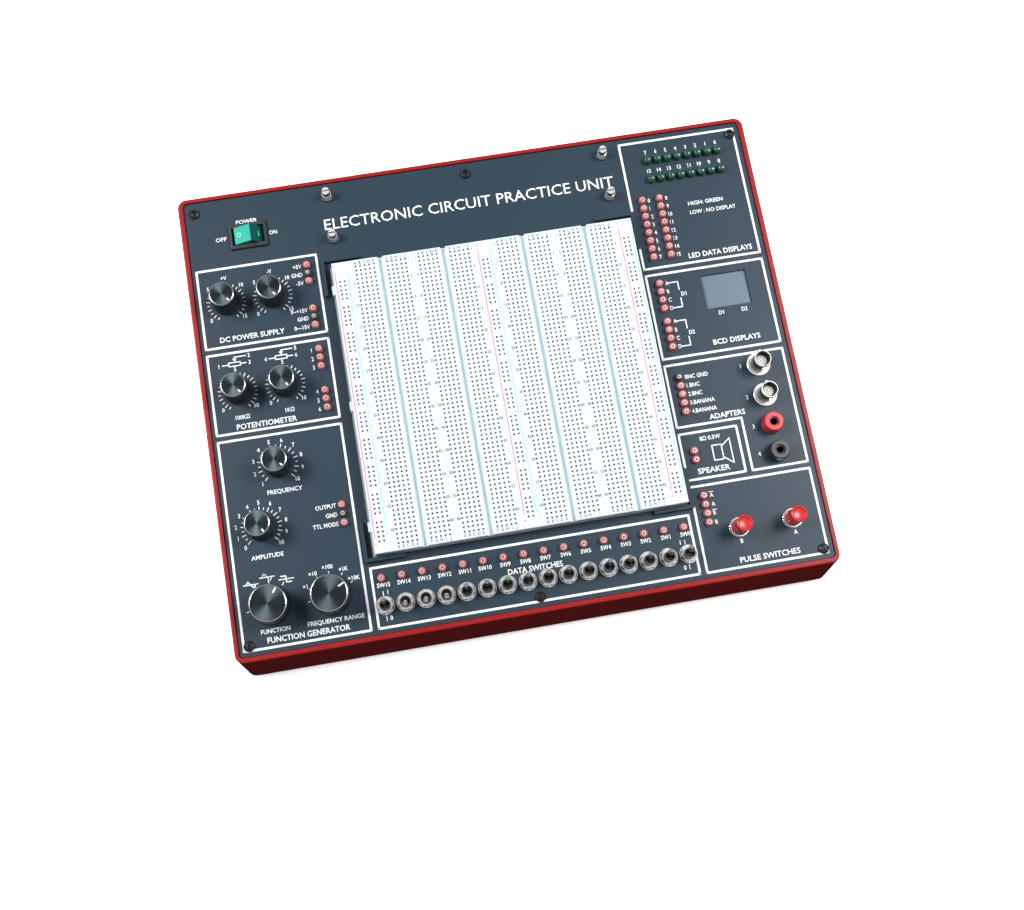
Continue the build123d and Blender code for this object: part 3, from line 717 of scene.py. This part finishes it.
rocker_black = finish("rocker_black", (0.018, 0.018, 0.02), 0.4, grain_scale=2500.0, grain_height=0.2)
dress(rocker_black, "rocker_frame")
rocker_green = finish("rocker_green", (0.0, 0.34, 0.26), 0.3, mottle=0.35, mottle_scale=220.0, drift=0.05,
                      grain_height=0.05, Specular_IOR_Level=0.2)
ROCKER_LEAN = math.radians(13.0)
RIDGE_RISE = 7.7          # from the pivot to the ridge of the roof-shaped paddle
rocker_x, rocker_y = places["power_rocker"]
ridge_x = rocker_x + RIDGE_RISE * math.sin(ROCKER_LEAN)
# Painted shade: the on half of the paddle, past the ridge, is painted dark green for the shade on its steep
# face.
on_half_painted_shade = within(rocker_green.node_tree, (ridge_x / 1000 + 0.0002, -1, -1), (1, 1, 1))
blend_colour(rocker_green, on_half_painted_shade, (0.0, 0.07, 0.06))
dress(rocker_green, "power_rocker")


def turned(profile, steps, ribs=0, closed=False):
    """A surface of revolution about Z: a ring of steps points for each (radius, height, rib depth) of
    the profile. Ribs pull the radius in by their depth times a raised cosine of the angle. Profile
    ends on the axis close in a fan; a closed profile joins its last ring to its first."""
    profile = [row if len(row) == 3 else (*row, 0.0) for row in profile]
    turn = np.arange(steps) * 2 * math.pi / steps
    points = []
    rings = []
    for radius, height, depth in profile:
        start = sum(len(ring) for ring in points)
        if radius < 1e-6:
            points.append(np.array([(0.0, 0.0, height)]))
            rings.append([start] * steps)
            continue
        pulled = radius - depth * (0.5 + 0.5 * np.cos(ribs * turn))
        points.append(np.c_[pulled * np.cos(turn), pulled * np.sin(turn), np.full(steps, height)])
        rings.append(list(range(start, start + steps)))
    faces = []
    uv = []
    pairs = list(zip(range(len(rings) - 1), range(1, len(rings))))
    if closed:
        pairs.append((len(rings) - 1, 0))
    for lower, upper in pairs:
        for step in range(steps):
            nxt = (step + 1) % steps
            corners = [(rings[lower][step], step, lower), (rings[lower][nxt], step + 1, lower),
                       (rings[upper][nxt], step + 1, upper), (rings[upper][step], step, upper)]
            kept = []
            for corner in corners:
                if corner[0] not in [other[0] for other in kept]:
                    kept.append(corner)
            faces.append(tuple(corner[0] for corner in kept))
            uv += [(corner[1] / steps, corner[2] / len(rings)) for corner in kept]
    return np.concatenate(points), faces, uv


def slant(points, centre, degrees):
    """Points tipped about the Y axis, positive lifting the right-hand side, then moved to a centre."""
    angle = math.radians(degrees)
    c, s = math.cos(angle), math.sin(angle)
    return points @ np.array([(c, 0, s), (0, 1, 0), (-s, 0, c)]) + centre


def slab(x0, y0, z0, x1, y1, z1):
    """The corners of a box, in the order that BOX_FACES joins."""
    return np.array([(x, y, z) for z in (z0, z1) for x, y in ((x0, y0), (x1, y0), (x1, y1), (x0, y1))])


rocker_mark = finish("rocker_mark", (0.30, 0.66, 0.55), 0.4)
OFF_SLOPE = 20.2          # the two planes' slopes while the switch is on
ON_SLOPE = -46.2
ring, ring_faces, ring_uv = turned([(1.05, -0.2), (1.45, -0.2), (1.45, 0.08), (1.05, 0.08)], 40, closed=True)
ring = slant(ring, (rocker_x - 4.9, rocker_y, 2.07), OFF_SLOPE)
make_piece("rocker_off_ring", ring, ring_faces, rocker_mark, "power_rocker", uv=ring_uv)
bar = slant(slab(-0.25, -1.5, -0.2, 0.25, 1.5, 0.08), (rocker_x + 5.9, rocker_y, 0.15), ON_SLOPE)
make_piece("rocker_on_bar", bar, BOX_FACES, rocker_mark, "power_rocker")

# ---- Pots and rotary switches --------------------------------------------------------
# Zinc-plated bodies below the panel; above it only the bushings and nuts, hidden under
# the knobs.

switch_metal = finish("switch_metal", (0.55, 0.54, 0.50), 0.35, mottle=0.2, mottle_scale=250.0, Metallic=1.0)
dress(switch_metal, "pots", "rotary_switches")
# Painted shade: the toggle bodies are painted near-black metal, for the shade in the bushings' mouths round
# the levers.
bushing_painted_shade = finish("bushing_painted_shade", (0.09, 0.09, 0.09), 0.4, mottle=0.2, mottle_scale=250.0, Metallic=1.0)
dress(bushing_painted_shade, "toggle_bodies")

# ---- Knobs ---------------------------------------------------------------------------
# A black moulded skirt with fine ribs, and a spun aluminium cap pressed into its top.
# The cap's edge is diamond cut and its pointer is a white filled line.

knob_black = finish("knob_black", (0.010, 0.010, 0.011), 0.42, mottle=0.2, mottle_scale=300.0,
                    grain_height=0.15)
pointer_white = finish("pointer_white", (0.85, 0.85, 0.83), 0.45)
cut_edge = finish("cut_edge", (0.34, 0.37, 0.38), 0.22, mottle=0.05, drift=0.05, grain_height=0.03,
                  Metallic=1.0)
spun_cap = finish("spun_cap", (0.050, 0.066, 0.072), 0.34, mottle=0.1, mottle_scale=500.0, drift=0.05,
                  grain_height=0.03, Metallic=1.0, Anisotropic=0.85)
tangent = spun_cap.node_tree.nodes.new("ShaderNodeTangent")
tangent.direction_type = "UV_MAP"
tangent.uv_map = "UVMap"
cap_shader = spun_cap.node_tree.nodes["Principled BSDF"]
spun_cap.node_tree.links.new(tangent.outputs[0], cap_shader.inputs["Tangent"])


def many(shape, spots):
    """Copies of a turned shape at several places, as one set of points, faces and UVs."""
    points, faces, uv = shape
    moved = [points + (x, y, 0) for x, y in spots]
    joined = [tuple(i + n * len(points) for i in face) for n in range(len(spots)) for face in faces]
    return np.concatenate(moved), joined, uv * len(spots)


def turned_about(points, centre, degrees):
    """Points swung about an upright line."""
    angle = math.radians(degrees)
    c, s = math.cos(angle), math.sin(angle)
    return points @ np.array([(c, s, 0), (-s, c, 0), (0, 0, 1)]) + (*centre, 0)


KNOB_TOP = 14.3
KNOB_LOW = -0.4
REST_ANGLE = {"knob_supply_plus": -49, "knob_supply_minus": -60, "knob_resistor_100k": -53,
              "knob_resistor_1k": -60, "knob_frequency": -46, "knob_amplitude": -58,
              "selector_waveform": 55, "selector_range": 26}
for knob, angle in REST_ANGLE.items():
    radius, recess, ribs = (10.35, 7.8, 60) if knob.startswith("selector") else (7.3, 6.1, 44)
    skirt = [(0, 4.4), (recess, 4.4), (recess, KNOB_LOW), (radius + 0.25, KNOB_LOW),
             (radius + 0.25, KNOB_LOW + 1.0), (radius + 0.1, KNOB_LOW + 1.2, 0.1),
             (radius + 0.05, KNOB_LOW + 1.6, 0.38),
             (radius, KNOB_TOP - 1.9, 0.38), (radius, KNOB_TOP - 1.5, 0.1), (radius - 0.02, KNOB_TOP - 1.3),
             (radius - 0.25, KNOB_TOP - 0.75), (radius - 0.55, KNOB_TOP - 0.6), (0, KNOB_TOP - 0.6)]
    points, faces, uv = turned(skirt, ribs * 4, ribs)
    points = points + (*places[knob], 0)
    body = make_piece(knob + "_skirt", points, faces, knob_black, knob, uv=uv)
    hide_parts(knob)
    rim = radius - 0.55
    cap = [(0, KNOB_TOP - 0.5), (rim, KNOB_TOP - 0.5), (rim, KNOB_TOP - 0.35), (rim - 0.45, KNOB_TOP - 0.05),
           (rim - 0.5, KNOB_TOP - 0.05)]
    points, faces, uv = turned(cap + [(rim - 0.55, KNOB_TOP - 0.12), (0, KNOB_TOP - 0.2)], 96)
    points = points + (*places[knob], 0)
    cap_piece = make_piece(knob + "_cap", points, faces, spun_cap, knob, uv=uv)
    cap_piece.data.materials.append(cut_edge)
    face_rings = np.repeat(np.arange(6), 96)
    on_edge = ((face_rings > 0) & (face_rings < 5)).astype(np.int32)
    cap_piece.data.polygons.foreach_set("material_index", on_edge)
    inner = radius * 0.57
    outer = rim - 0.75
    pointer = slab(inner, -0.4, KNOB_TOP - 0.3, outer, 0.4, KNOB_TOP - 0.06)
    pointer = turned_about(pointer, places[knob], angle)
    make_piece(knob + "_pointer", pointer, BOX_FACES, pointer_white, knob)

# ---- Push buttons --------------------------------------------------------------------
# Red caps with a dished top over a ribbed barrel, each in a knurled nickel dress nut.
# The cap slides down into the nut against a spring in the closed switch below.

button_red = finish("button_red", (0.52, 0.016, 0.02), 0.34, mottle=0.1, grain_height=0.08, Coat_Weight=0.15)
switch_black = finish("switch_black", (0.02, 0.02, 0.02), 0.5)
dress(switch_black, "button_bodies", "display_module")
button_profile = [(0, -5.0), (4.1, -5.0), (4.25, -4.6), (4.25, 1.0), (4.3, 1.3, 0.6), (4.3, 11.6, 0.6),
                  (4.35, 11.9), (4.4, 12.3), (4.4, 13.2), (4.25, 13.8), (3.85, 14.0), (3.45, 13.85),
                  (3.05, 13.2), (2.2, 12.85), (0, 12.7)]
places.update(button_a=np.array((142.9, -104.6)), button_b=np.array((113.2, -104.6)))
for name in ("button_a", "button_b"):
    points, faces, uv = turned(button_profile, 120, 20)
    points = points + (*places[name], 0)
    button = make_piece(name + "_cap", points, faces, button_red, name, uv=uv)
    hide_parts(name)
dress_nut = [(4.6, PLATE_TOP), (5.4, PLATE_TOP), (5.4, PLATE_TOP + 0.1, 0.3), (5.4, 0.6, 0.3), (5.2, 0.85),
             (4.95, 0.9), (4.6, 0.9)]
points, faces, uv = many(turned(dress_nut, 96, 24, closed=True), [places["button_a"], places["button_b"]])
nut_piece = make_piece("dress_nuts", points, faces, nickel, uv=uv)
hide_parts("button_bezels")

# ---- Indicators and display ----------------------------------------------------------
# Sixteen diffused green lamps, unlit, and a smoked window with the two-digit module
# close behind it.

lamp_green = finish("lamp_green", (0.006, 0.075, 0.04), 0.22, mottle=0.2, Coat_Weight=0.5,
                    Transmission_Weight=0.15)
dress(lamp_green, "leds")
smoked = finish("smoked_window", (0.12, 0.165, 0.215), 0.22, mottle=0.08, mottle_scale=20.0, drift=0.02,
                grain_height=0.02, Coat_Weight=0.6)
dress(smoked, "display_window")

# ---- Collared jacks ------------------------------------------------------------------
# Soft red nylon collars, or dark ones for the ground points, round plated tubes.

collar_red = finish("collar_red", (0.46, 0.12, 0.12), 0.42, mottle=0.15, mottle_scale=400.0)
tinned = finish("tinned", (0.72, 0.66, 0.62), 0.42, mottle=0.2, mottle_scale=600.0, Metallic=0.6)
dress(tinned, "jack_contacts")
collar_dark = finish("collar_dark", (0.03, 0.03, 0.032), 0.45, mottle=0.2, mottle_scale=400.0)
dress(collar_red, "red_jacks")
dress(collar_dark, "dark_jacks")

# ---- Coaxial sockets -----------------------------------------------------------------
# Nickel bayonet shells with a wide flange, white insulators and gold centre contacts.

insulator = finish("insulator", (0.42, 0.43, 0.43), 0.4, mottle=0.08)
dress(insulator, "bnc_cores")
gold = finish("gold_contact", (0.80, 0.58, 0.25), 0.25, mottle=0.1, Metallic=1.0)
coaxial_places = [(143.0, -16.5), (143.0, -34.2)]
contact = [(0.3, 2.6), (0.6, 2.6), (0.6, 7.0), (0.5, 7.15), (0.3, 7.15)]
points, faces, uv = many(turned(contact, 24, closed=True), coaxial_places)
make_piece("coaxial_contacts", points, faces, gold, uv=uv)

# ---- Banana sockets ------------------------------------------------------------------
# One red and one black moulded socket, each round a plated brass sleeve.

socket_red = finish("socket_red", (0.50, 0.02, 0.03), 0.3, mottle=0.1, grain_height=0.06, Coat_Weight=0.15)
socket_black = finish("socket_black", (0.012, 0.012, 0.013), 0.3, mottle=0.1, grain_height=0.06,
                      Coat_Weight=0.3)
# Painted shade: the plated sleeves are painted very dark, for the shade down the sockets' bores.
sleeve_painted_shade = finish("sleeve_painted_shade", (0.10, 0.09, 0.075), 0.45, mottle=0.15, Metallic=1.0)
dress(socket_red, "banana_red")
dress(socket_black, "banana_black")
dress(sleeve_painted_shade, "banana_contacts")

# ---- Studio --------------------------------------------------------------------------
# A white sweep, a softbox above the object on either side, and an even grey fill.

floor_mesh = bpy.data.meshes.new("floor")
FLOOR_HALF = 6.0
floor_corners = [(x * FLOOR_HALF, y * FLOOR_HALF, 0) for x, y in ((-1, -1), (1, -1), (1, 1), (-1, 1))]
floor_mesh.from_pydata(floor_corners, [], [(0, 1, 2, 3)])
floor_mesh.materials.append(finish("sweep_white", (0.93, 0.93, 0.93), 0.7, mottle=0.01, grain_height=0.0,
                                   Emission_Strength=0.6))
floor = bpy.data.objects.new("floor", floor_mesh)
bpy.context.scene.collection.objects.link(floor)
floor.visible_glossy = False
floor.visible_diffuse = False

world = bpy.data.worlds.new("studio")
world.use_nodes = True
world.node_tree.nodes["Background"].inputs["Color"].default_value = (0.95, 0.97, 1.0, 1.0)
# Mirrors see a bright band round a dim ceiling and a dark floor; everything else sees an even grey.
studio = world.node_tree.nodes
direction = studio.new("ShaderNodeTexCoord")
height = studio.new("ShaderNodeSeparateXYZ")
spread = studio.new("ShaderNodeMapRange")
spread.inputs["From Min"].default_value = -1.0
band = studio.new("ShaderNodeValToRGB")
band.color_ramp.elements[0].position = 0.50
band.color_ramp.elements[0].color = (0.02, 0.02, 0.02, 1)
band.color_ramp.elements[1].position = 0.94
band.color_ramp.elements[1].color = (0.40, 0.40, 0.40, 1)
for position, grey in ((0.60, 0.85), (0.80, 0.85)):
    band.color_ramp.elements.new(position).color = (grey, grey, grey, 1)
rays = studio.new("ShaderNodeLightPath")
brightness = studio.new("ShaderNodeMapRange")
brightness.inputs["To Min"].default_value = 0.22
world.node_tree.links.new(direction.outputs["Generated"], height.inputs["Vector"])
world.node_tree.links.new(height.outputs["Z"], spread.inputs["Value"])
world.node_tree.links.new(spread.outputs["Result"], band.inputs["Fac"])
world.node_tree.links.new(rays.outputs["Is Glossy Ray"], brightness.inputs["Value"])
world.node_tree.links.new(band.outputs["Color"], brightness.inputs["To Max"])
backdrop = studio.new("ShaderNodeMath")
backdrop.operation = "MAXIMUM"
world.node_tree.links.new(brightness.outputs["Result"], backdrop.inputs[0])
world.node_tree.links.new(rays.outputs["Is Camera Ray"], backdrop.inputs[1])
world.node_tree.links.new(backdrop.outputs["Value"], studio["Background"].inputs["Strength"])
bpy.context.scene.world = world


def softbox(name, place, size, power, color=(1, 1, 1)):
    """A square area light aimed at the object's middle."""
    lamp = bpy.data.lights.new(name, "AREA")
    lamp.shape = "SQUARE"
    lamp.size = size
    lamp.energy = power
    lamp.color = color
    holder = bpy.data.objects.new(name, lamp)
    holder.location = place
    aim = np.array((0, 0, 0.06)) - np.array(place)
    yaw = math.atan2(aim[1], aim[0]) - math.pi / 2
    pitch = math.atan2(math.hypot(aim[0], aim[1]), -aim[2])
    holder.rotation_euler = (pitch, 0, yaw)
    bpy.context.scene.collection.objects.link(holder)


softbox("softbox_left", (-0.80, 0.10, 1.0), 0.45, 15.0)
softbox("softbox_right", (0.75, -0.10, 1.0), 0.50, 15.0)

# The camera looks down over the front edge from a little left of the middle.
lens = bpy.data.cameras.new("camera")
lens.sensor_width = 36.0
lens.lens = 42.485
lens.shift_x = 0.0092
lens.shift_y = 0.0006
camera = bpy.data.objects.new("camera", lens)
camera.location = on_panel((-43.6, -178.3, 645.4))
camera.rotation_euler = [math.radians(angle) for angle in (23.8983, 0.8381, -9.7933)]
bpy.context.scene.collection.objects.link(camera)
bpy.context.scene.camera = camera
bpy.context.scene.view_settings.view_transform = "Standard"
